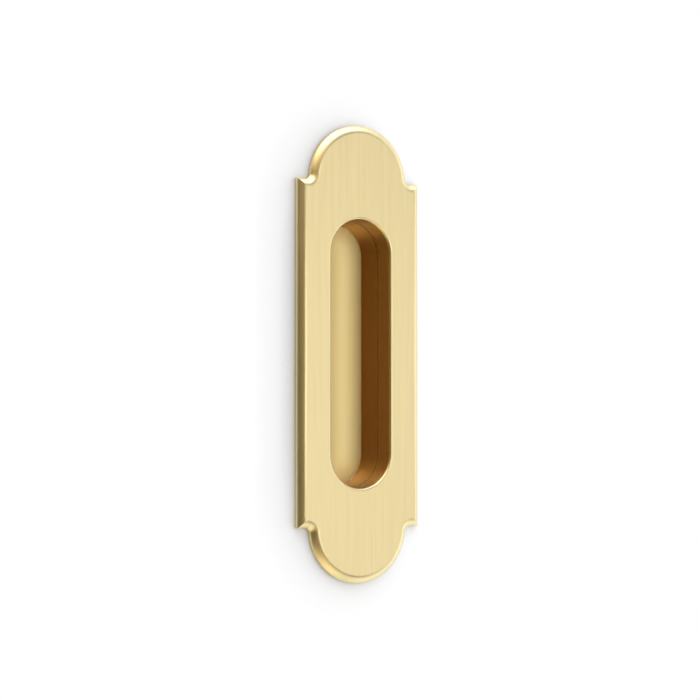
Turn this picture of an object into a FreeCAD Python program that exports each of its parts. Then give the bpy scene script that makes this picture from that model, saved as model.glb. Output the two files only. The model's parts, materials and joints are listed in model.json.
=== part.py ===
"""Flush pull for a pocket door: an arched, bevelled face plate over a screwed-in finger cup.

Millimetres. X runs across the plate, Y runs into the door, Z runs up.
The origin is the middle of the plate, on the face of the door.
"""
import FreeCAD
import Part

import math
import os

from FreeCAD import Vector

# Face plate: outline
plate_width = 57.0
plate_height = 184.0
shoulder_width = 6.0
cove_radius = 2.2

# Face plate: edge section, from the back upwards
edge_land = 1.2
bevel_height = 2.3
bevel_width = 2.9
bevel_crown = 0.3

# Face plate: hollow back
rim_width = 4.5

# Finger recess, measured at its straight wall; its floor is dished between the walls
recess_width = 27.7
recess_height = 108.0
recess_depth = 21.7
lip_radius = 1.0
floor_radius = 0.6
dish_radius = 70.0

# Collar on the back of the plate, which plugs into the cup
collar_reach = 9.4
collar_wall = 1.2
collar_clearance = 0.05
seam_gap = 0.45

# Cup and its fixing flange
cup_wall = 1.2
sleeve_wall = 1.25
step_radius = 0.8
flange_thickness = 1.8
flange_clearance = 0.4

# Countersunk wood screws through the flange
screw_setback = 13.5
screw_length = 16.0
shank_radius = 1.75
head_radius = 3.3
head_sink = 0.2
point_length = 4.5
hole_clearance = 0.2
seat_clearance = 0.1
drive_span = 3.4
drive_slot = 0.8
drive_depth = 1.1

# Sizes that follow from those above
plate_thickness = edge_land + bevel_height
arch_radius = plate_width / 2 - shoulder_width
arch_z = plate_height / 2 - arch_radius
overrun = cove_radius / 2
recess_end_z = (recess_height - recess_width) / 2
face_y = -plate_thickness
flange_y = -flange_thickness
collar_end_y = face_y + collar_reach
ledge_y = collar_end_y + seam_gap
floor_y = face_y + recess_depth
dish_y = floor_y + dish_radius - math.sqrt(dish_radius ** 2 - (recess_width / 2) ** 2)
cup_back_y = dish_y + cup_wall
step_y = ledge_y + cup_wall
sleeve_bore = collar_wall + collar_clearance
sleeve_outside = sleeve_bore + sleeve_wall
screw_z = recess_height / 2 + sleeve_outside + screw_setback
head_y = flange_y + head_sink

ACROSS = Vector(1, 0, 0)
INTO_DOOR = Vector(0, 1, 0)
UP = Vector(0, 0, 1)
CENTRE = Vector(0, 0, 0)


def line(start, end):
    return Part.LineSegment(start, end).toShape()


def arc(start, middle, end):
    return Part.Arc(start, middle, end).toShape()


def prism(wire, depth):
    """Solid between a flat wire and its copy, depth further into the door."""
    return Part.Face(wire).extrude(INTO_DOOR * depth)


def cove_centre(inset):
    """Centre of the upper right cove of the outline, moved inwards by inset."""
    rise = cove_radius - inset
    reach = arch_radius - inset + cove_radius
    return Vector(math.sqrt(reach ** 2 - rise ** 2), 0, arch_z + rise)


def outline(inset, y):
    """Arched outline of the plate, moved inwards by inset: sides, shoulders, coves and arches."""
    side_x = plate_width / 2 - inset
    radius = arch_radius - inset
    shoulder_z = arch_z - inset
    cove = cove_centre(inset)
    to_arch = Vector(0, 0, arch_z) - cove
    to_arch.normalize()
    cove_middle = to_arch - UP
    cove_middle.normalize()
    touch = cove + to_arch * cove_radius
    middle = cove + cove_middle * cove_radius
    edges = []
    for side in (1, -1):
        edges.append(line(Vector(side * side_x, y, -shoulder_z), Vector(side * side_x, y, shoulder_z)))
    for end in (1, -1):
        apex = Vector(0, y, end * (arch_z + radius))
        feet = []
        for side in (1, -1):
            tip = Vector(side * side_x, y, end * shoulder_z)
            cove_start = Vector(side * cove.x, y, end * shoulder_z)
            foot = Vector(side * touch.x, y, end * touch.z)
            edges.append(line(tip, cove_start))
            edges.append(arc(cove_start, Vector(side * middle.x, y, end * middle.z), foot))
            feet.append(foot)
        edges.append(arc(feet[0], apex, feet[1]))
    return Part.Wire(Part.sortEdges(edges)[0])


def oblong(outset, y):
    """Outline of the recess with its two half-round ends, moved outwards by outset."""
    radius = recess_width / 2 + outset
    edges = []
    for side in (1, -1):
        edges.append(line(Vector(side * radius, y, -recess_end_z), Vector(side * radius, y, recess_end_z)))
    for end in (1, -1):
        end_z = end * recess_end_z
        apex = Vector(0, y, end_z + end * radius)
        edges.append(arc(Vector(radius, y, end_z), apex, Vector(-radius, y, end_z)))
    return Part.Wire(Part.sortEdges(edges)[0])


def edges_at(shape, y):
    """Edges of a shape that lie in the plane at y."""
    return [edge for edge in shape.Edges if abs(edge.BoundBox.YMin - y) + abs(edge.BoundBox.YMax - y) < 1e-4]


def bevel_section(place):
    """Waste outside the crowned bevel; place turns (distance from the edge, height) into a point."""
    slope = math.hypot(bevel_width, bevel_height)
    crown_in = bevel_width / 2 - bevel_crown * bevel_height / slope
    crown_up = edge_land + bevel_height / 2 + bevel_crown * bevel_width / slope
    foot = place(0, edge_land)
    arris = place(bevel_width, plate_thickness)
    above = place(bevel_width, plate_thickness + overrun)
    corner = place(-overrun, plate_thickness + overrun)
    outside = place(-overrun, edge_land)
    edges = [arc(foot, place(crown_in, crown_up), arris), line(arris, above), line(above, corner)]
    edges += [line(corner, outside), line(outside, foot)]
    return Part.Face(Part.Wire(edges))


def turned(section, centre, start, stop):
    """Section that points along +X, turned from start to stop degrees round centre, +X towards +Z."""
    section.rotate(centre, INTO_DOOR, -start)
    return section.revolve(centre, -INTO_DOOR, stop - start)


def bevel_waste():
    """Waste of the bevel all round the plate; neighbours overrun at the tips, which leaves mitres."""
    side_x = plate_width / 2
    cove = cove_centre(0)
    arch = Vector(0, 0, arch_z)
    lean = math.degrees(math.atan2(cove.z - arch_z, cove.x))
    side_end = arch_z + overrun

    side = bevel_section(lambda inwards, height: Vector(side_x - inwards, -height, -side_end))
    side = side.extrude(UP * (2 * side_end))
    shoulder = bevel_section(lambda inwards, height: Vector(cove.x, -height, arch_z - inwards))
    shoulder = shoulder.extrude(ACROSS * (side_x + overrun - cove.x))
    hollow = bevel_section(lambda inwards, height: Vector(cove.x + cove_radius + inwards, -height, cove.z))
    hollow = turned(hollow, cove, lean - 180, -90)
    crown = bevel_section(lambda inwards, height: Vector(arch_radius - inwards, -height, arch_z))
    crown = turned(crown, arch, lean, 180 - lean)

    right = [side]
    for piece in (shoulder, hollow):
        right += [piece, piece.mirror(CENTRE, UP)]
    left = [piece.mirror(CENTRE, ACROSS) for piece in right]
    return right + left + [crown, crown.mirror(CENTRE, UP)]


def face_plate():
    """Bevelled plate, hollow behind, with the collar that lines the mouth of the recess."""
    plate = prism(outline(0, face_y), plate_thickness)
    plate = plate.cut(bevel_waste())
    plate = plate.cut(prism(outline(rim_width, flange_y), flange_thickness))
    plate = plate.fuse(prism(oblong(collar_wall, face_y + lip_radius), collar_reach - lip_radius))
    plate = plate.cut(prism(oblong(0, face_y), collar_reach)).removeSplitter()
    mouth = [edge for edge in edges_at(plate, face_y) if edge.BoundBox.ZMax <= recess_height / 2 + lip_radius
             and edge.BoundBox.ZMin >= -recess_height / 2 - lip_radius
             and abs(edge.CenterOfMass.x) <= recess_width / 2 + lip_radius]
    return plate.makeFillet(lip_radius, mouth)


def screw_axis_points():
    return [Vector(0, 0, screw_z), Vector(0, 0, -screw_z)]


def countersink(centre):
    """Clearance hole and conical seat for one screw in the flange."""
    seat_radius = head_radius + head_sink + seat_clearance
    hole_radius = shank_radius + hole_clearance
    hole = Part.makeCylinder(hole_radius, flange_thickness, centre + INTO_DOOR * flange_y, INTO_DOOR)
    seat_depth = seat_radius - hole_radius
    seat = Part.makeCone(seat_radius, hole_radius, seat_depth, centre + INTO_DOOR * flange_y, INTO_DOOR)
    return hole.fuse(seat)


def recess_space():
    """Hollow of the recess: straight walls with half-round ends, and a floor dished like a long pillow."""
    walls = prism(oblong(0, face_y), cup_back_y - face_y)
    dish_axis_y = dish_y - dish_radius
    dish = Part.makeCylinder(dish_radius, 2 * recess_end_z, Vector(0, dish_axis_y, -recess_end_z), UP)
    for end in (1, -1):
        dish = dish.fuse(Part.makeSphere(dish_radius, Vector(0, dish_axis_y, end * recess_end_z)))
    space = walls.common(dish).removeSplitter()
    return space.makeFillet(floor_radius, edges_at(space, floor_y))


def recess_cup():
    """Finger cup: flange behind the plate, sleeve round the collar, ledge at the seam, dished floor."""
    flange = prism(outline(rim_width + flange_clearance, flange_y), flange_thickness)
    sleeve = prism(oblong(sleeve_outside, flange_y), step_y - flange_y)
    sleeve = sleeve.makeFillet(step_radius, edges_at(sleeve, step_y))
    well = prism(oblong(cup_wall, flange_y), cup_back_y - flange_y)
    well = well.makeFillet(floor_radius + cup_wall, edges_at(well, cup_back_y))
    cup = flange.fuse([sleeve, well]).removeSplitter()
    cup = cup.cut([recess_space(), prism(oblong(sleeve_bore, flange_y), ledge_y - flange_y)])
    return cup.cut([countersink(centre) for centre in screw_axis_points()])


def wood_screw(centre):
    """Flat-head wood screw, its head just under the face of the flange and its point in the door."""
    head_depth = head_radius - shank_radius
    tip_y = head_y + screw_length
    profile = [
        Vector(0, head_y, 0),
        Vector(head_radius, head_y, 0),
        Vector(shank_radius, head_y + head_depth, 0),
        Vector(shank_radius, tip_y - point_length, 0),
        Vector(0, tip_y, 0),
        Vector(0, head_y, 0),
    ]
    screw = Part.Face(Part.makePolygon(profile)).revolve(CENTRE, INTO_DOOR, 360)
    for length, width in ((drive_span, drive_slot), (drive_slot, drive_span)):
        corner = Vector(-length / 2, head_y, -width / 2)
        screw = screw.cut(Part.makeBox(length, drive_depth, width, corner))
    screw.translate(centre)
    return screw


def main():
    pieces = {
        "face_plate": face_plate(),
        "recess_cup": recess_cup(),
        "fixing_screws": Part.makeCompound([wood_screw(centre) for centre in screw_axis_points()]),
    }
    os.makedirs("parts", exist_ok=True)
    for name, shape in pieces.items():
        shape.exportStep("parts/" + name + ".step")


main()
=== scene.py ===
import json
import math

import bmesh
import bpy
from bpy.props import FloatProperty, FloatVectorProperty, PointerProperty
from mathutils import Matrix, Vector


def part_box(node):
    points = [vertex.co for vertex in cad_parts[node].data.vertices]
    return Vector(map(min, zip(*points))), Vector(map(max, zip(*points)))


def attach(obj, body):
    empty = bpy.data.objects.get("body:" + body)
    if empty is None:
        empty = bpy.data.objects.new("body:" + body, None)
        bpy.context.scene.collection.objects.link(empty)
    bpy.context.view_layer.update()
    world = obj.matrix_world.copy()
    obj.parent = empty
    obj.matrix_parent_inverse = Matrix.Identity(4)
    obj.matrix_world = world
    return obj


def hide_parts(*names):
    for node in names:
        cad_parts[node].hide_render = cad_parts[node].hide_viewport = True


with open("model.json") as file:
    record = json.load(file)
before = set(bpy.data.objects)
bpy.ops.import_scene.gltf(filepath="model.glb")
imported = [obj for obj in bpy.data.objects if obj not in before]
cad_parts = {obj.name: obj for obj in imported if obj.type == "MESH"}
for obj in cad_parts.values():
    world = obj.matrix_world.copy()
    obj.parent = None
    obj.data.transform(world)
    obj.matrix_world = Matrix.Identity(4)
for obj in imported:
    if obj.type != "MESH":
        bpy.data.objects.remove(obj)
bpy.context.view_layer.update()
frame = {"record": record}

bl_info = {
    "name": "Pocket door pull",
    "version": (1, 0, 0),
    "blender": (4, 5, 0),
    "location": "View3D > Sidebar > Door pull",
    "description": "Dresses an arched brass pocket door pull and sets it on a pale stage",
    "category": "Object",
}

# Places that the solids give, in metres
PLATE_LOW, PLATE_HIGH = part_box("face_plate")
CUP_LOW, CUP_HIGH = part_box("recess_cup")
SCREW_LOW, SCREW_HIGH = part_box("fixing_screws")
MOUNTS = {mount["name"]: mount for mount in frame["record"]["mounts"]}
SCREW_DIMS = MOUNTS["fixing_screws"]["dims"]
SIDE_X = PLATE_HIGH.x
APEX_Z = PLATE_HIGH.z
FACE_Y = PLATE_LOW.y
COLLAR_END_Y = PLATE_HIGH.y
FLANGE_Y = CUP_LOW.y
CUP_BACK_Y = CUP_HIGH.y
FLANGE_INSET = SIDE_X - CUP_HIGH.x
SCREW_Z = SCREW_DIMS["spacing_y_mm"] / 2000
SHANK_RADIUS = SCREW_DIMS["stud_r_mm"] / 1000
HEAD_RADIUS = SCREW_HIGH.x
HEAD_Y = SCREW_LOW.y
TIP_Y = SCREW_HIGH.y

# Fineness of the meshes
ARCH_STEPS = 48
COVE_STEPS = 10
END_STEPS = 30
ROUND_STEPS = 6
BEVEL_STEPS = 10
DISH_STEPS = 14
SOFT_STEPS = 3
ROLL_STEPS = 10
RING_SEGMENTS = 32
THREAD_STEPS = 24
WELD = 2e-6
SHARP_ANGLE = math.radians(28)

# Share of the bevel at which the roll of the face begins, and half the flat strip along the floor's middle
ROLL_START = 0.80
DISH_SPINE = 0.0006

# Screw tip and foot of the thread, as shares of the core's radius
TIP_SHARE = 0.02
FIN_FOOT = 0.94

# Recess walls, darkened as painted shade: how far they may lie outside the recess's outline, and lean before
# they count as floor
WALL_REACH = 0.0002
WALL_LEAN = 0.96

# Brushing: relief on each piece, depth of the lines, and how much they change colour and gloss
PLATE_RELIEF = 0.25
CUP_RELIEF = 0.2
PLAIN_RELIEF = 0.1
LINE_DEPTH = 0.00003
TONE_SPREAD = 0.12
GLOSS_SPREAD = 0.04
TONE_LOW = 0.25
TONE_HIGH = 0.75

# Broad bands among the brush lines: width and length in lines, and their share of the tone
BAND_WIDTH = 6
BAND_LENGTH = 3
BAND_SHARE = 0.6
LINE_DETAIL = 3.0
BAND_DETAIL = 2.0
LINE_ROUGHNESS = 0.6

# Soft lights of the studio: azimuth, elevation and half width in degrees, level and tint
WHITE = (1, 1, 1)
COOL = (0.90, 0.97, 1.25)
WARM = (1, 0.86, 0.62)
HONEY = (1, 0.80, 0.50)
AMBER = (1, 0.72, 0.30)
CREAM = (1, 0.97, 0.90)
SOFT_LIGHTS = {
    "front": (10, 0, 18, 2.30, WHITE),
    "front bounce": (10, 0, 30, 0.80, WARM),
    "front right": (30, 0, 18, 0.16, WHITE),
    "right": (52, 0, 26, 1.08, WHITE),
    "far right": (85, 0, 30, 1.25, WHITE),
    "upper right": (78, 38, 38, 1.25, WHITE),
    "lower right": (78, -38, 38, 1.40, WHITE),
    "top": (0, 80, 45, 2.50, COOL),
    "left": (-25, 0, 30, 0.08, AMBER),
    "upper front left": (-38, 38, 38, 0.60, AMBER),
    "upper left": (-65, 54, 34, 1.90, HONEY),
    "lower left": (-65, -54, 34, 0.90, AMBER),
    "lower front": (-8, -48, 28, 0.90, WARM),
    "bottom": (0, -80, 45, 0.92, CREAM),
    "behind": (180, 0, 85, 0.95, WHITE),
}

# Backdrop: its paint, how much brighter it shows, and the soft shadow that the pull leaves on it
BOARD_PAINT = (0.53, 0.57, 0.64, 1)
BOARD_LIFT = 0.55
CONTACT_REACH = 0.02
CONTACT_TURN = math.radians(40)
CONTACT_DEPTH = 1.6
CONTACT_SAMPLES = 3

# Camera: sensor in millimetres, nearest distance that it shows
SENSOR_WIDTH = 36
NEAREST = 0.01

FRONT = Vector((0, -1, 0))
INTO_DOOR = Vector((0, 1, 0))
UP = Vector((0, 0, 1))


class PlateSizes(bpy.types.PropertyGroup):
    """Sizes of the face plate that its box doesn't give"""

    shoulder_width: FloatProperty(
        name="Shoulder width", description="Step from the side of the plate in to its arch",
        default=0.0060, unit="LENGTH")
    cove_radius: FloatProperty(
        name="Cove radius", description="Hollow where a shoulder runs into the arch",
        default=0.0022, unit="LENGTH")
    edge_land: FloatProperty(
        name="Edge land", description="Upright edge between the back of the plate and its bevel",
        default=0.0012, unit="LENGTH")
    bevel_width: FloatProperty(
        name="Bevel width", description="Width of the bevel, seen from the front",
        default=0.0029, unit="LENGTH")
    bevel_crown: FloatProperty(
        name="Bevel crown", description="How far the bevel bulges out of a flat chamfer",
        default=0.0003, unit="LENGTH")
    arris_softness: FloatProperty(
        name="Arris softness", description="Length over which brushing has rounded the outer arris",
        default=0.00030, unit="LENGTH")
    face_roll: FloatProperty(
        name="Face roll", description="How far in from the bevel the face starts to roll over into it",
        default=0.0005, unit="LENGTH")
    rim_width: FloatProperty(
        name="Rim width", description="Width of the rim round the hollow back",
        default=0.0045, unit="LENGTH")


class RecessSizes(bpy.types.PropertyGroup):
    """Sizes of the finger recess: the plate's collar and the cup behind it"""

    width: FloatProperty(
        name="Width", description="Width of the recess between its straight walls",
        default=0.0277, unit="LENGTH")
    height: FloatProperty(
        name="Height", description="Height of the recess over its round ends",
        default=0.1080, unit="LENGTH")
    depth: FloatProperty(
        name="Depth", description="Depth of the floor's edge below the face of the plate",
        default=0.0217, unit="LENGTH")
    dish_radius: FloatProperty(
        name="Dish radius", description="Radius of the floor, which is dished between its walls",
        default=0.0700, unit="LENGTH")
    lip_radius: FloatProperty(
        name="Lip radius", description="Round of the mouth where fingers go in",
        default=0.0010, unit="LENGTH")
    floor_radius: FloatProperty(
        name="Floor radius", description="Small hollow where the wall meets the floor",
        default=0.0006, unit="LENGTH")
    collar_wall: FloatProperty(
        name="Collar wall", description="Thickness of the collar that plugs into the cup",
        default=0.0012, unit="LENGTH")
    collar_clearance: FloatProperty(
        name="Collar clearance", description="Room round the collar in the sleeve of the cup",
        default=0.00005, unit="LENGTH")
    seam_gap: FloatProperty(
        name="Seam gap", description="Fine gap between the collar's end and the ledge of the cup",
        default=0.00045, unit="LENGTH")
    cup_wall: FloatProperty(
        name="Cup wall", description="Thickness of the cup below its ledge",
        default=0.0012, unit="LENGTH")
    sleeve_wall: FloatProperty(
        name="Sleeve wall", description="Thickness of the cup round the collar",
        default=0.00125, unit="LENGTH")
    step_radius: FloatProperty(
        name="Step radius", description="Round on the outside of the cup, below its sleeve",
        default=0.0008, unit="LENGTH")


class ScrewSizes(bpy.types.PropertyGroup):
    """Sizes of the wood screws that their box doesn't give"""

    hole_clearance: FloatProperty(
        name="Hole clearance", description="Room round the shank in the flange",
        default=0.0002, unit="LENGTH")
    seat_radius: FloatProperty(
        name="Seat radius", description="Countersink at the front of the flange",
        default=0.0036, unit="LENGTH")
    core_radius: FloatProperty(
        name="Core radius", description="Radius at the root of the thread",
        default=0.00122, unit="LENGTH")
    neck_end: FloatProperty(
        name="Neck end", description="Where the plain neck ends, behind the face of the door",
        default=0.0022, unit="LENGTH")
    pitch: FloatProperty(
        name="Pitch", description="Advance of the thread in one turn",
        default=0.0014, unit="LENGTH")
    point_length: FloatProperty(
        name="Point length", description="Length of the tapered point",
        default=0.0045, unit="LENGTH")
    drive_span: FloatProperty(
        name="Drive span", description="Span of the cross recess in the head",
        default=0.0034, unit="LENGTH")
    drive_slot: FloatProperty(
        name="Drive slot", description="Width of one arm of the cross recess",
        default=0.0008, unit="LENGTH")
    drive_depth: FloatProperty(
        name="Drive depth", description="Depth of the cross recess",
        default=0.0011, unit="LENGTH")


class BrassFinish(bpy.types.PropertyGroup):
    """Colours and brushing of the brass"""

    plate_colour: FloatVectorProperty(
        name="Plate colour", description="Satin brass of the face plate",
        default=(0.83, 0.715, 0.415), subtype="COLOR", min=0, max=1)
    # The cup's brass is lighter than the plate's, which paints extra light on the recess floor.
    cup_lit_colour: FloatVectorProperty(
        name="Cup colour", description="Satin brass inside the recess",
        default=(0.90, 0.76, 0.385), subtype="COLOR", min=0, max=1)
    # The wall colour is painted shade: a darker brass where the recess walls lie in shade.
    wall_shade_colour: FloatVectorProperty(
        name="Wall colour", description="Deeper brass of the recess walls, which no brush reaches",
        default=(0.485, 0.287, 0.118), subtype="COLOR", min=0, max=1)
    screw_colour: FloatVectorProperty(
        name="Screw colour", description="Plain turned brass of the screws",
        default=(0.72, 0.54, 0.27), subtype="COLOR", min=0, max=1)
    plate_roughness: FloatProperty(
        name="Plate roughness", description="Gloss of the face plate", default=0.40, min=0, max=1)
    cup_roughness: FloatProperty(
        name="Cup roughness", description="Gloss of the cup's floor and outside", default=0.40, min=0, max=1)
    wall_roughness: FloatProperty(
        name="Wall roughness", description="Gloss of the recess walls", default=0.40, min=0, max=1)
    screw_roughness: FloatProperty(
        name="Screw roughness", description="Gloss of the screws", default=0.28, min=0, max=1)
    line_width: FloatProperty(
        name="Line width", description="Width of the finest brush lines",
        default=0.00030, unit="LENGTH")
    line_length: FloatProperty(
        name="Line length", description="Length of the finest brush lines",
        default=0.0180, unit="LENGTH")


class StageSettings(bpy.types.PropertyGroup):
    """Camera, light and backdrop"""

    azimuth: FloatProperty(
        name="Azimuth", description="Camera's turn to the right of the plate's front",
        default=math.radians(-31.7), subtype="ANGLE")
    elevation: FloatProperty(
        name="Elevation", description="Camera's height as an angle",
        default=math.radians(-1.73), subtype="ANGLE")
    distance: FloatProperty(
        name="Distance", description="From the camera to the middle of the pull",
        default=0.969, unit="LENGTH")
    lens: FloatProperty(
        name="Lens", description="Focal length, in millimetres on a 36 mm sensor", default=123.9)
    aim_right: FloatProperty(
        name="Aim right", description="How far the camera aims to the right of the pull's middle",
        default=-0.0026, unit="LENGTH")
    aim_up: FloatProperty(
        name="Aim up", description="How far the camera aims above the pull's middle",
        default=0.0016, unit="LENGTH")
    backdrop_size: FloatProperty(
        name="Backdrop size", description="Half the width of the white backdrop",
        default=1.6, unit="LENGTH")
    backdrop_tuck: FloatProperty(
        name="Backdrop tuck", description="How far the backdrop reaches in behind the plate's edge",
        default=0.0005, unit="LENGTH")
    backdrop_gap: FloatProperty(
        name="Backdrop gap", description="Shadow gap between the plate's back and the backdrop",
        default=0.00025, unit="LENGTH")


def loop_from_quarter(bm, draw):
    """Adds the closed loop whose upper right quarter draw makes, and returns its edges."""
    scratch = bmesh.new()
    draw(scratch)
    for axis in ("X", "Z"):
        bmesh.ops.mirror(
            scratch, geom=scratch.verts[:] + scratch.edges[:], matrix=Matrix(), merge_dist=WELD, axis=axis)
    mesh = bpy.data.meshes.new("loop")
    scratch.to_mesh(mesh)
    scratch.free()
    first = len(bm.edges)
    bm.from_mesh(mesh)
    bpy.data.meshes.remove(mesh)
    bm.edges.ensure_lookup_table()
    return bm.edges[first:]


def run_to(bm, vert, place):
    """Draws a straight line on from vert to place."""
    end = bmesh.ops.extrude_vert_indiv(bm, verts=[vert])["verts"][0]
    end.co = place
    return end


def swing(bm, vert, centre, angle, steps):
    """Draws an arc on from vert round centre; a positive angle turns up towards the right."""
    arc = bmesh.ops.spin(
        bm, geom=[vert], cent=centre, axis=INTO_DOOR, dvec=(0, 0, 0), angle=angle, steps=steps,
        use_merge=False, use_duplicate=False)
    return next(item for item in arc["geom_last"] if isinstance(item, bmesh.types.BMVert))


def arched_loop(bm, inset, y):
    """Outline of the plate, moved inwards by inset: side, shoulder, cove and arch, mirrored."""
    plate = bpy.context.scene.pull_plate
    arch_radius = SIDE_X - plate.shoulder_width
    arch_z = APEX_Z - arch_radius
    side_x = SIDE_X - inset
    shoulder_z = arch_z - inset
    rise = plate.cove_radius - inset
    reach = arch_radius - inset + plate.cove_radius
    cove = Vector((math.sqrt(reach ** 2 - rise ** 2), y, arch_z + rise))
    quarter = math.pi / 2 - math.atan2(rise, cove.x)

    def draw(scratch):
        vert = bmesh.ops.create_vert(scratch, co=(side_x, y, 0))["vert"][0]
        vert = run_to(scratch, vert, (side_x, y, shoulder_z))
        vert = run_to(scratch, vert, (cove.x, y, shoulder_z))
        vert = swing(scratch, vert, cove, quarter, COVE_STEPS)
        swing(scratch, vert, (0, y, arch_z), -quarter, ARCH_STEPS)

    return loop_from_quarter(bm, draw)


def oblong_loop(bm, outset, y):
    """Outline of the recess with its half-round ends, moved outwards by outset."""
    recess = bpy.context.scene.pull_recess
    radius = recess.width / 2 + outset
    end_z = (recess.height - recess.width) / 2

    def draw(scratch):
        vert = bmesh.ops.create_vert(scratch, co=(radius, y, 0))["vert"][0]
        vert = run_to(scratch, vert, (radius, y, end_z))
        swing(scratch, vert, (0, y, end_z), -math.pi / 2, END_STEPS)

    return loop_from_quarter(bm, draw)


def ring(bm, radius, centre):
    """Edges of a circle that faces into the door."""
    turn = Matrix.Translation(centre) @ Matrix.Rotation(math.pi / 2, 4, "X")
    made = bmesh.ops.create_circle(bm, cap_ends=False, segments=RING_SEGMENTS, radius=radius, matrix=turn)
    return list(dict.fromkeys(edge for vert in made["verts"] for edge in vert.link_edges))


def draw_out(bm, edges, along, centre=None, scale=1.0):
    """Extrudes a loop into the door by along, scaled about centre, and returns its far loop."""
    grown = bmesh.ops.extrude_edge_only(bm, edges=edges)["geom"]
    verts = {item for item in grown if isinstance(item, bmesh.types.BMVert)}
    bmesh.ops.translate(bm, verts=list(verts), vec=INTO_DOOR * along)
    if scale != 1.0:
        bmesh.ops.scale(
            bm, verts=list(verts), vec=(scale, 1, scale), space=Matrix.Translation(-Vector(centre)))
    return [item for item in grown if isinstance(item, bmesh.types.BMEdge) and set(item.verts) <= verts]


def cap(bm, edges, facing):
    """Closes a flat loop with one face that looks the way of facing."""
    face = bmesh.ops.edgeloop_fill(bm, edges=edges)["faces"][0]
    face.normal_update()
    if face.normal.dot(facing) < 0:
        face.normal_flip()
    return face


def step_in(bm, face, inwards, along):
    """Moves the border of a flat face inwards, and the face along its normal, leaving a strip behind."""
    bmesh.ops.inset_region(
        bm, faces=[face], thickness=inwards, depth=along, use_even_offset=True, use_boundary=True)


def follow(bm, face, points):
    """Steps a face through points of (distance inwards, distance along its normal)."""
    last = (0.0, 0.0)
    for point in points:
        step_in(bm, face, point[0] - last[0], point[1] - last[1])
        last = point


def open_face(bm, face):
    """Takes a face away and returns the loop that it leaves."""
    edges = face.edges[:]
    bmesh.ops.delete(bm, geom=[face], context="FACES_ONLY")
    return edges


def fill_between(bm, edges, facing):
    """Fills the flat area between loops, and keeps its border crisp so that it stays flat to the eye."""
    bmesh.ops.triangle_fill(bm, edges=edges, use_beauty=True, normal=facing)
    for edge in edges:
        edge.smooth = False


def rounded(radius, steps):
    """Points of (inwards, along) of a round from a wall on to its cap."""
    angles = [math.pi / 2 * step / steps for step in range(1, steps + 1)]
    return [(radius * (1 - math.cos(angle)), radius * math.sin(angle)) for angle in angles]


def lip_points(radius):
    """Points of (outset, depth) down the round of a mouth, from the face to the wall."""
    angles = [math.pi / 2 * step / ROUND_STEPS for step in range(ROUND_STEPS + 1)]
    return [(radius * (1 - math.sin(angle)), radius * (1 - math.cos(angle))) for angle in angles]


def dish_points(recess):
    """Points of (inwards, along) over the dished floor, from the end of its corner round to the middle."""
    half = recess.width / 2
    start = recess.floor_radius
    span = half - start - DISH_SPINE
    reach = [start + span * step / DISH_STEPS for step in range(1, DISH_STEPS + 1)]

    def level(inwards):
        return math.sqrt(recess.dish_radius ** 2 - (half - inwards) ** 2)

    return [(inwards - start, level(start) - level(inwards)) for inwards in reach]


def bend(start, corner, end, steps):
    """Points of a soft corner: a parabola from start to end that leans on corner."""
    points = []
    for step in range(1, steps + 1):
        t = step / steps
        weights = ((1 - t) ** 2, 2 * t * (1 - t), t ** 2)
        points.append(tuple(
            weights[0] * a + weights[1] * b + weights[2] * c for a, b, c in zip(start, corner, end)))
    return points


def bevel_points(plate):
    """Section of the crowned bevel, from just below the top of the edge land to the flat of the face."""
    width = plate.bevel_width
    rise = -FACE_Y - plate.edge_land
    slope = math.hypot(width, rise)
    soft = plate.arris_softness
    top = rise + soft

    def on_bevel(share):
        bulge = 4 * plate.bevel_crown * share * (1 - share)
        return (width * share - bulge * rise / slope, rise * share + bulge * width / slope + soft)

    first = soft / slope
    points = bend((0, 0), (0, soft), on_bevel(first), SOFT_STEPS)
    for step in range(1, BEVEL_STEPS + 1):
        points.append(on_bevel(first + (ROLL_START - first) * step / BEVEL_STEPS))
    lean = 4 * plate.bevel_crown * (1 - 2 * ROLL_START) / slope
    run = (width - lean * rise) / (rise + lean * width)
    inwards, height = points[-1]
    corner = (inwards + (top - height) * run, top)
    return points + bend(points[-1], corner, (width + plate.face_roll, top), ROLL_STEPS)


def finish_mesh(bm, name, material):
    """Turns a closed bmesh into an object with smooth rounds and crisp arrises."""
    bmesh.ops.remove_doubles(bm, verts=bm.verts, dist=WELD)
    bmesh.ops.recalc_face_normals(bm, faces=bm.faces)
    for edge in bm.edges:
        if not edge.is_manifold:
            raise RuntimeError(name + " isn't closed")
        if edge.calc_face_angle() > SHARP_ANGLE:
            edge.smooth = False
    for face in bm.faces:
        face.smooth = True
    mesh = bpy.data.meshes.new(name)
    bm.to_mesh(mesh)
    bm.free()
    mesh.materials.append(material)
    piece = bpy.data.objects.new(name, mesh)
    bpy.context.scene.collection.objects.link(piece)
    return piece


def paint_wall_shade(piece, from_y):
    """Paints shade on the upright walls of the recess, deeper than from_y, as a darker brass of their own."""
    recess = bpy.context.scene.pull_recess
    finish = bpy.context.scene.pull_finish
    # This darker brass paints the shade on the recess walls.
    name = "wall_shade_brass"
    brass = bpy.data.materials.get(name)
    if brass is None:
        brass = satin_brass(name, finish.wall_shade_colour, finish.wall_roughness, PLAIN_RELIEF)
    piece.data.materials.append(brass)
    half = recess.width / 2 + WALL_REACH
    end_z = (recess.height - recess.width) / 2
    for face in piece.data.polygons:
        centre = face.center
        spine = Vector((0, centre.y, max(-end_z, min(end_z, centre.z))))
        inside = centre.y > from_y and (centre - spine).length < half
        # Faces of the recess walls, and the corner round at their foot, get the painted shade.
        if inside and abs(face.normal.y) < WALL_LEAN:
            face.material_index = 1


def stand_for(piece, node):
    """Lets a piece ride on the pull and stand for its solid, which it hides."""
    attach(piece, "root")
    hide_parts(node)


def link(tree, source, target):
    """Joins two sockets of a node tree."""
    tree.links.new(source, target)


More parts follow.
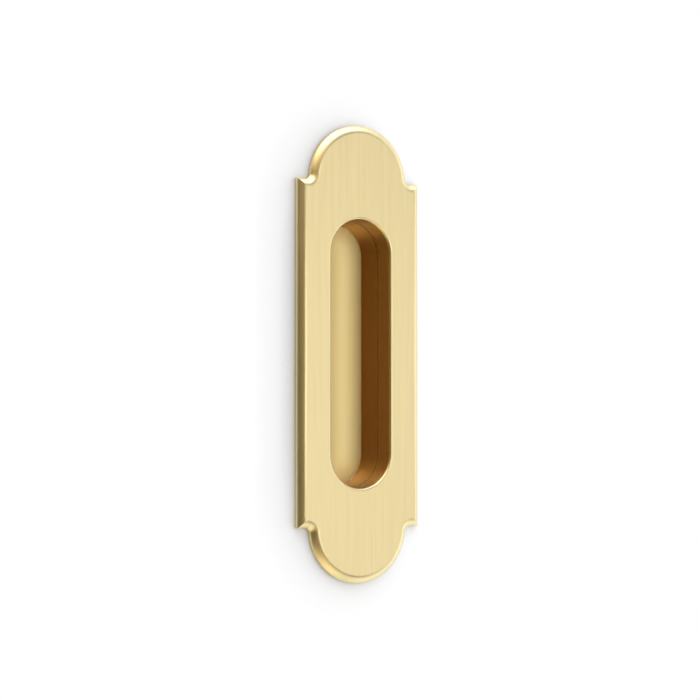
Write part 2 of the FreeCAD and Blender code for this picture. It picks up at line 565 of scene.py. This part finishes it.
def direction(azimuth, elevation):
    """Unit vector from the pull; azimuth 0 is straight out of its front, and turns to the right."""
    level = math.cos(elevation)
    return Vector((math.sin(azimuth) * level, -math.cos(azimuth) * level, math.sin(elevation)))


def brush_lines():
    """Node group of fine lines brushed along the height: Tone for colour and gloss, Height for relief."""
    group = bpy.data.node_groups.get("Brush lines")
    if group:
        return group
    group = bpy.data.node_groups.new("Brush lines", "ShaderNodeTree")
    for name in ("Vector", "Line scale", "Band scale"):
        group.interface.new_socket(name, in_out="INPUT", socket_type="NodeSocketVector")
    for name in ("Tone", "Height"):
        group.interface.new_socket(name, in_out="OUTPUT", socket_type="NodeSocketFloat")
    entry = group.nodes.new("NodeGroupInput")
    leave = group.nodes.new("NodeGroupOutput")
    noises = []
    for socket, detail in (("Line scale", LINE_DETAIL), ("Band scale", BAND_DETAIL)):
        stretch = group.nodes.new("ShaderNodeVectorMath")
        stretch.operation = "MULTIPLY"
        link(group, entry.outputs["Vector"], stretch.inputs[0])
        link(group, entry.outputs[socket], stretch.inputs[1])
        noise = group.nodes.new("ShaderNodeTexNoise")
        noise.inputs["Scale"].default_value = 1.0
        noise.inputs["Detail"].default_value = detail
        noise.inputs["Roughness"].default_value = LINE_ROUGHNESS
        link(group, stretch.outputs["Vector"], noise.inputs["Vector"])
        noises.append(noise)
    tone = group.nodes.new("ShaderNodeMix")
    tone.data_type = "FLOAT"
    tone.inputs["Factor"].default_value = BAND_SHARE
    link(group, noises[0].outputs["Fac"], tone.inputs["A"])
    link(group, noises[1].outputs["Fac"], tone.inputs["B"])
    link(group, tone.outputs["Result"], leave.inputs["Tone"])
    link(group, noises[0].outputs["Fac"], leave.inputs["Height"])
    return group


def satin_brass(name, colour, roughness, relief):
    """Brushed brass: lines along the height vary its colour, gloss and relief a little."""
    finish = bpy.context.scene.pull_finish
    material = bpy.data.materials.new(name)
    material.use_nodes = True
    tree = material.node_tree
    shader = tree.nodes["Principled BSDF"]
    shader.inputs["Metallic"].default_value = 1.0
    place = tree.nodes.new("ShaderNodeTexCoord")
    lines = tree.nodes.new("ShaderNodeGroup")
    lines.node_tree = brush_lines()
    across = 1 / finish.line_width
    along = 1 / finish.line_length
    lines.inputs["Line scale"].default_value = (across, across, along)
    lines.inputs["Band scale"].default_value = (across / BAND_WIDTH, across / BAND_WIDTH, along / BAND_LENGTH)
    link(tree, place.outputs["Object"], lines.inputs["Vector"])
    tint = tree.nodes.new("ShaderNodeMix")
    tint.data_type = "RGBA"
    tint.inputs["A"].default_value = [channel * (1 - TONE_SPREAD) for channel in colour] + [1]
    tint.inputs["B"].default_value = [min(1, channel * (1 + TONE_SPREAD)) for channel in colour] + [1]
    link(tree, lines.outputs["Tone"], tint.inputs["Factor"])
    link(tree, tint.outputs["Result"], shader.inputs["Base Color"])
    gloss = tree.nodes.new("ShaderNodeMapRange")
    gloss.inputs["From Min"].default_value = TONE_LOW
    gloss.inputs["From Max"].default_value = TONE_HIGH
    gloss.inputs["To Min"].default_value = roughness - GLOSS_SPREAD
    gloss.inputs["To Max"].default_value = roughness + GLOSS_SPREAD
    link(tree, lines.outputs["Tone"], gloss.inputs["Value"])
    link(tree, gloss.outputs["Result"], shader.inputs["Roughness"])
    bump = tree.nodes.new("ShaderNodeBump")
    bump.inputs["Strength"].default_value = relief
    bump.inputs["Distance"].default_value = LINE_DEPTH
    link(tree, lines.outputs["Height"], bump.inputs["Height"])
    link(tree, bump.outputs["Normal"], shader.inputs["Normal"])
    return material


class PULL_OT_face_plate(bpy.types.Operator):
    """Model the arched face plate with its bevel, mouth, collar and hollow back"""

    bl_idname = "pull.face_plate"
    bl_label = "Face plate"

    def execute(self, context):
        plate = context.scene.pull_plate
        recess = context.scene.pull_recess
        finish = context.scene.pull_finish
        bm = bmesh.new()
        back = arched_loop(bm, 0, 0)
        land_top = draw_out(bm, back, plate.arris_softness - plate.edge_land)
        face = cap(bm, land_top, FRONT)
        follow(bm, face, bevel_points(plate))
        arris = open_face(bm, face)

        lip = [oblong_loop(bm, outset, FACE_Y + depth) for outset, depth in lip_points(recess.lip_radius)]
        mouth = lip[0]
        for near, far in zip(lip, lip[1:]):
            bmesh.ops.bridge_loops(bm, edges=near + far)
        collar = draw_out(bm, lip[-1], COLLAR_END_Y - FACE_Y - recess.lip_radius)
        collar_outside = oblong_loop(bm, recess.collar_wall, COLLAR_END_Y)
        bmesh.ops.bridge_loops(bm, edges=collar + collar_outside)
        collar_root = draw_out(bm, collar_outside, FLANGE_Y - COLLAR_END_Y)

        hollow_rim = arched_loop(bm, plate.rim_width, 0)
        hollow = draw_out(bm, hollow_rim, FLANGE_Y)
        fill_between(bm, arris + mouth, FRONT)
        fill_between(bm, collar_root + hollow, INTO_DOOR)
        fill_between(bm, back + hollow_rim, INTO_DOOR)
        brass = satin_brass("plate_brass", finish.plate_colour, finish.plate_roughness, PLATE_RELIEF)
        piece = finish_mesh(bm, "arched_face_plate", brass)
        paint_wall_shade(piece, FACE_Y + recess.lip_radius)
        stand_for(piece, "face_plate")
        return {"FINISHED"}


class PULL_OT_recess_cup(bpy.types.Operator):
    """Model the finger cup with its flange, countersinks, sleeve, ledge and dished floor"""

    bl_idname = "pull.recess_cup"
    bl_label = "Recess cup"

    def execute(self, context):
        recess = context.scene.pull_recess
        finish = context.scene.pull_finish
        bore = recess.collar_wall + recess.collar_clearance
        outside = bore + recess.sleeve_wall
        ledge_y = COLLAR_END_Y + recess.seam_gap
        step_y = ledge_y + recess.cup_wall
        round_y = FACE_Y + recess.depth - recess.floor_radius
        back_radius = recess.floor_radius + recess.cup_wall
        bm = bmesh.new()
        flange_back = arched_loop(bm, FLANGE_INSET, 0)
        flange_front = draw_out(bm, flange_back, FLANGE_Y)

        sleeve_root = oblong_loop(bm, outside, 0)
        sleeve_end = draw_out(bm, sleeve_root, step_y - recess.step_radius)
        back = cap(bm, sleeve_end, INTO_DOOR)
        follow(bm, back, rounded(recess.step_radius, ROUND_STEPS))
        step_in(bm, back, outside - recess.cup_wall - recess.step_radius, 0)
        step_in(bm, back, 0, CUP_BACK_Y - back_radius - step_y)
        follow(bm, back, rounded(back_radius, ROUND_STEPS))

        bore_mouth = oblong_loop(bm, bore, FLANGE_Y)
        floor = cap(bm, draw_out(bm, bore_mouth, ledge_y - FLANGE_Y), FRONT)
        step_in(bm, floor, bore, 0)
        step_in(bm, floor, 0, ledge_y - round_y)
        follow(bm, floor, [(inwards, -along) for inwards, along in rounded(recess.floor_radius, ROUND_STEPS)])
        follow(bm, floor, dish_points(recess))

        seats, holes = self.countersinks(bm, context.scene.pull_screw)
        fill_between(bm, flange_front + bore_mouth + seats, FRONT)
        fill_between(bm, flange_back + sleeve_root + holes, INTO_DOOR)
        for edge in back.edges:
            edge.smooth = False
        brass = satin_brass("cup_brass", finish.cup_lit_colour, finish.cup_roughness, CUP_RELIEF)
        piece = finish_mesh(bm, "finger_cup", brass)
        paint_wall_shade(piece, ledge_y)
        stand_for(piece, "recess_cup")
        return {"FINISHED"}

    def countersinks(self, bm, screw):
        """Conical seats and clearance holes for both screws; returns their front and back loops."""
        seats = []
        holes = []
        hole_radius = SHANK_RADIUS + screw.hole_clearance
        depth = screw.seat_radius - hole_radius
        for z in (SCREW_Z, -SCREW_Z):
            centre = (0, FLANGE_Y, z)
            seat = ring(bm, screw.seat_radius, centre)
            throat = draw_out(bm, seat, depth, centre, hole_radius / screw.seat_radius)
            seats += seat
            holes += draw_out(bm, throat, -FLANGE_Y - depth)
        return seats, holes


class PULL_OT_screws(bpy.types.Operator):
    """Model the concealed wood screws with their heads, cross recesses and threads"""

    bl_idname = "pull.screws"
    bl_label = "Fixing screws"

    def execute(self, context):
        screw = context.scene.pull_screw
        finish = context.scene.pull_finish
        bm = bmesh.new()
        for z in (SCREW_Z, -SCREW_Z):
            self.body(bm, screw, (0, HEAD_Y, z))
            self.thread(bm, screw, (0, HEAD_Y, z))
        brass = satin_brass("screw_brass", finish.screw_colour, finish.screw_roughness, PLAIN_RELIEF)
        piece = finish_mesh(bm, "wood_screws", brass)
        stand_for(piece, "fixing_screws")
        return {"FINISHED"}

    def body(self, bm, screw, centre):
        """Head with its cross recess, plain neck, core and point."""
        head_depth = HEAD_RADIUS - SHANK_RADIUS
        rim = ring(bm, HEAD_RADIUS, centre)
        neck = draw_out(bm, rim, head_depth, centre, SHANK_RADIUS / HEAD_RADIUS)
        neck_end = draw_out(bm, neck, screw.neck_end - HEAD_Y - head_depth)
        core = draw_out(bm, neck_end, screw.pitch / 2, centre, screw.core_radius / SHANK_RADIUS)
        point_y = TIP_Y - screw.point_length
        point = draw_out(bm, core, point_y - screw.neck_end - screw.pitch / 2)
        tip = draw_out(bm, point, screw.point_length, centre, TIP_SHARE)
        cap(bm, tip, INTO_DOOR)

        half = screw.drive_span / 2
        turn = Matrix.Translation(centre) @ Matrix.Rotation(math.pi / 2, 4, "X")
        grid = bmesh.ops.create_grid(bm, x_segments=3, y_segments=3, size=half, matrix=turn)["verts"]
        arm = screw.drive_slot / 2
        for vert in grid:
            for axis in (0, 2):
                offset = vert.co[axis] - centre[axis]
                if abs(offset) < half / 2:
                    vert.co[axis] = centre[axis] + math.copysign(arm, offset)
        faces = list(dict.fromkeys(face for vert in grid for face in vert.link_faces))
        corners = [face for face in faces
                   if min(abs(face.calc_center_median()[axis] - centre[axis]) for axis in (0, 2)) > arm]
        bmesh.ops.delete(bm, geom=corners, context="FACES")
        cross = [face for face in faces if face.is_valid]
        edges = dict.fromkeys(edge for face in cross for edge in face.edges)
        border = [edge for edge in edges if edge.is_boundary]
        bottom = draw_out(bm, border, screw.drive_depth)
        bmesh.ops.delete(bm, geom=cross, context="FACES_ONLY")
        loose = [edge for edge in bm.edges if edge.is_wire and edge not in border and edge not in rim]
        bmesh.ops.delete(bm, geom=loose, context="EDGES")
        cap(bm, bottom, FRONT)
        fill_between(bm, rim + border, FRONT)

    def thread(self, bm, screw, centre):
        """Closed helical fin from the neck on, which tapers with the point."""
        start_y = screw.neck_end
        turns = (TIP_Y - start_y - screw.pitch / 2) / screw.pitch
        steps = int(turns * THREAD_STEPS)
        root = screw.core_radius * FIN_FOOT
        x, z = centre[0], centre[2]
        first = len(bm.verts)
        base = bmesh.ops.create_vert(bm, co=(x + root, start_y, z))["vert"][0]
        crest = run_to(bm, base, (x + SHANK_RADIUS, start_y + screw.pitch / 4, z))
        foot = run_to(bm, crest, (x + root, start_y + screw.pitch / 2, z))
        bm.edges.new((foot, base))
        section = [base, crest, foot]
        edges = list(dict.fromkeys(edge for vert in section for edge in vert.link_edges))
        swept = bmesh.ops.spin(
            bm, geom=section + edges, cent=(x, start_y, z), axis=INTO_DOOR,
            dvec=INTO_DOOR * (screw.pitch / THREAD_STEPS), angle=math.tau * steps / THREAD_STEPS, steps=steps,
            use_merge=False, use_duplicate=False)
        last = [item for item in swept["geom_last"] if isinstance(item, bmesh.types.BMEdge)]
        cap(bm, edges, FRONT)
        cap(bm, last, INTO_DOOR)
        bm.verts.ensure_lookup_table()
        for vert in bm.verts[first:]:
            taper = min(1, (TIP_Y - vert.co.y) / screw.point_length)
            vert.co.x = x + (vert.co.x - x) * taper
            vert.co.z = z + (vert.co.z - z) * taper


class PULL_OT_stage(bpy.types.Operator):
    """Set up the white backdrop, the studio light and the camera"""

    bl_idname = "pull.stage"
    bl_label = "Stage"

    def execute(self, context):
        stage = context.scene.pull_stage
        self.backdrop(context, stage)
        self.world(context)
        self.camera(context, stage)
        context.scene.view_settings.view_transform = "Standard"
        return {"FINISHED"}

    def backdrop(self, context, stage):
        """White board behind the plate, cut out inside its outline; it can't be seen from behind."""
        bm = bmesh.new()
        size = stage.backdrop_size
        y = stage.backdrop_gap
        arched_loop(bm, stage.backdrop_tuck, y)
        corners = bmesh.ops.create_vert(bm, co=(size, y, size))["vert"]
        for x, z in ((-1, 1), (-1, -1), (1, -1)):
            corners.append(run_to(bm, corners[-1], (x * size, y, z * size)))
        bm.edges.new((corners[-1], corners[0]))
        bmesh.ops.triangle_fill(bm, edges=bm.edges[:], use_beauty=True, normal=FRONT)
        for face in bm.faces:
            if face.normal.dot(FRONT) < 0:
                face.normal_flip()
        mesh = bpy.data.meshes.new("backdrop")
        bm.to_mesh(mesh)
        bm.free()
        mesh.materials.append(self.board_white())
        board = bpy.data.objects.new("backdrop", mesh)
        context.scene.collection.objects.link(board)

    def board_white(self):
        """White board that is a little brighter to the camera than its light makes it, with a soft shadow
        painted into that brightness beside the pull.
        """
        material = bpy.data.materials.new("board_white")
        material.use_nodes = True
        tree = material.node_tree
        tree.nodes.remove(tree.nodes["Principled BSDF"])
        paint = tree.nodes.new("ShaderNodeBsdfDiffuse")
        paint.inputs["Color"].default_value = BOARD_PAINT
        lift = tree.nodes.new("ShaderNodeEmission")
        path = tree.nodes.new("ShaderNodeLightPath")
        seen = path.outputs["Is Camera Ray"]
        for ray in ("Is Glossy Ray", "Is Transmission Ray"):
            either = tree.nodes.new("ShaderNodeMath")
            either.operation = "MAXIMUM"
            link(tree, seen, either.inputs[0])
            link(tree, path.outputs[ray], either.inputs[1])
            seen = either.outputs["Value"]
        # Painted shadow: ambient occlusion, turned towards the right, darkens the board's added brightness
        # beside the pull.
        contact = tree.nodes.new("ShaderNodeAmbientOcclusion")
        contact.samples = CONTACT_SAMPLES
        contact.inputs["Distance"].default_value = CONTACT_REACH
        towards = tree.nodes.new("ShaderNodeCombineXYZ")
        for socket, part in zip(towards.inputs, direction(CONTACT_TURN, 0)):
            socket.default_value = part
        link(tree, towards.outputs["Vector"], contact.inputs["Normal"])
        deepen = tree.nodes.new("ShaderNodeMath")
        deepen.operation = "POWER"
        deepen.inputs[1].default_value = CONTACT_DEPTH
        link(tree, contact.outputs["AO"], deepen.inputs[0])
        strength = tree.nodes.new("ShaderNodeMath")
        strength.operation = "MULTIPLY"
        link(tree, deepen.outputs["Value"], strength.inputs[0])
        link(tree, seen, strength.inputs[1])
        lift.inputs["Color"].default_value = (BOARD_LIFT, BOARD_LIFT, BOARD_LIFT, 1)
        link(tree, strength.outputs["Value"], lift.inputs["Strength"])
        both = tree.nodes.new("ShaderNodeAddShader")
        link(tree, paint.outputs["BSDF"], both.inputs[0])
        link(tree, lift.outputs["Emission"], both.inputs[1])
        side = tree.nodes.new("ShaderNodeNewGeometry")
        clear = tree.nodes.new("ShaderNodeBsdfTransparent")
        choose = tree.nodes.new("ShaderNodeMixShader")
        link(tree, side.outputs["Backfacing"], choose.inputs["Fac"])
        link(tree, both.outputs["Shader"], choose.inputs[1])
        link(tree, clear.outputs["BSDF"], choose.inputs[2])
        link(tree, choose.outputs["Shader"], tree.nodes["Material Output"].inputs["Surface"])
        return material

    def world(self, context):
        """Dark studio with soft lights round the pull; only the camera sees it white."""
        world = bpy.data.worlds.new("studio")
        context.scene.world = world
        world.use_nodes = True
        tree = world.node_tree
        place = tree.nodes.new("ShaderNodeTexCoord")
        total = tree.nodes.new("ShaderNodeLightPath").outputs["Is Camera Ray"]
        for azimuth, elevation, half_width, level, tint in SOFT_LIGHTS.values():
            facing = tree.nodes.new("ShaderNodeVectorMath")
            facing.operation = "DOT_PRODUCT"
            facing.inputs[1].default_value = direction(math.radians(azimuth), math.radians(elevation))
            link(tree, place.outputs["Generated"], facing.inputs[0])
            glow = tree.nodes.new("ShaderNodeMapRange")
            glow.interpolation_type = "SMOOTHSTEP"
            glow.inputs["From Min"].default_value = math.cos(math.radians(half_width))
            glow.inputs["To Max"].default_value = level
            link(tree, facing.outputs["Value"], glow.inputs["Value"])
            light = tree.nodes.new("ShaderNodeVectorMath")
            light.operation = "SCALE"
            light.inputs[0].default_value = tint
            link(tree, glow.outputs["Result"], light.inputs["Scale"])
            add = tree.nodes.new("ShaderNodeVectorMath")
            add.operation = "ADD"
            link(tree, total, add.inputs[0])
            link(tree, light.outputs["Vector"], add.inputs[1])
            total = add.outputs["Vector"]
        link(tree, total, tree.nodes["Background"].inputs["Color"])

    def camera(self, context, stage):
        """Camera at the photograph's angle, aimed so that the pull sits where it does in the frame."""
        data = bpy.data.cameras.new("camera")
        data.sensor_width = SENSOR_WIDTH
        data.lens = stage.lens
        data.clip_start = NEAREST
        camera = bpy.data.objects.new("camera", data)
        outwards = direction(stage.azimuth, stage.elevation)
        right = (-outwards).cross(UP).normalized()
        above = right.cross(-outwards)
        place = outwards * stage.distance
        aim = right * stage.aim_right + above * stage.aim_up
        camera.location = place
        camera.rotation_euler = (aim - place).to_track_quat("-Z", "Y").to_euler()
        context.scene.collection.objects.link(camera)
        context.scene.camera = camera


class PULL_PT_panel(bpy.types.Panel):
    """Sizes, finish and stage of the door pull, with a button for each step"""

    bl_idname = "PULL_PT_panel"
    bl_label = "Pocket door pull"
    bl_space_type = "VIEW_3D"
    bl_region_type = "UI"
    bl_category = "Door pull"

    def draw(self, context):
        for group_name, _, _ in GROUPS:
            group = getattr(context.scene, group_name)
            for name in group.__annotations__:
                self.layout.prop(group, name)
        for operator in OPERATORS:
            self.layout.operator(operator.bl_idname)


GROUPS = (
    ("pull_plate", PlateSizes, "Sizes of the face plate"),
    ("pull_recess", RecessSizes, "Sizes of the recess"),
    ("pull_screw", ScrewSizes, "Sizes of the screws"),
    ("pull_finish", BrassFinish, "Colours and brushing"),
    ("pull_stage", StageSettings, "Camera, light and backdrop"),
)
OPERATORS = (PULL_OT_face_plate, PULL_OT_recess_cup, PULL_OT_screws, PULL_OT_stage)


def register():
    for name, group, description in GROUPS:
        bpy.utils.register_class(group)
        setattr(bpy.types.Scene, name, PointerProperty(type=group, description=description))
    for operator in OPERATORS:
        bpy.utils.register_class(operator)
    bpy.utils.register_class(PULL_PT_panel)


def unregister():
    bpy.utils.unregister_class(PULL_PT_panel)
    for operator in reversed(OPERATORS):
        bpy.utils.unregister_class(operator)
    for name, group, _ in reversed(GROUPS):
        delattr(bpy.types.Scene, name)
        bpy.utils.unregister_class(group)


def main():
    register()
    bpy.ops.pull.face_plate()
    bpy.ops.pull.recess_cup()
    bpy.ops.pull.screws()
    bpy.ops.pull.stage()


if __name__ == "__main__":
    main()
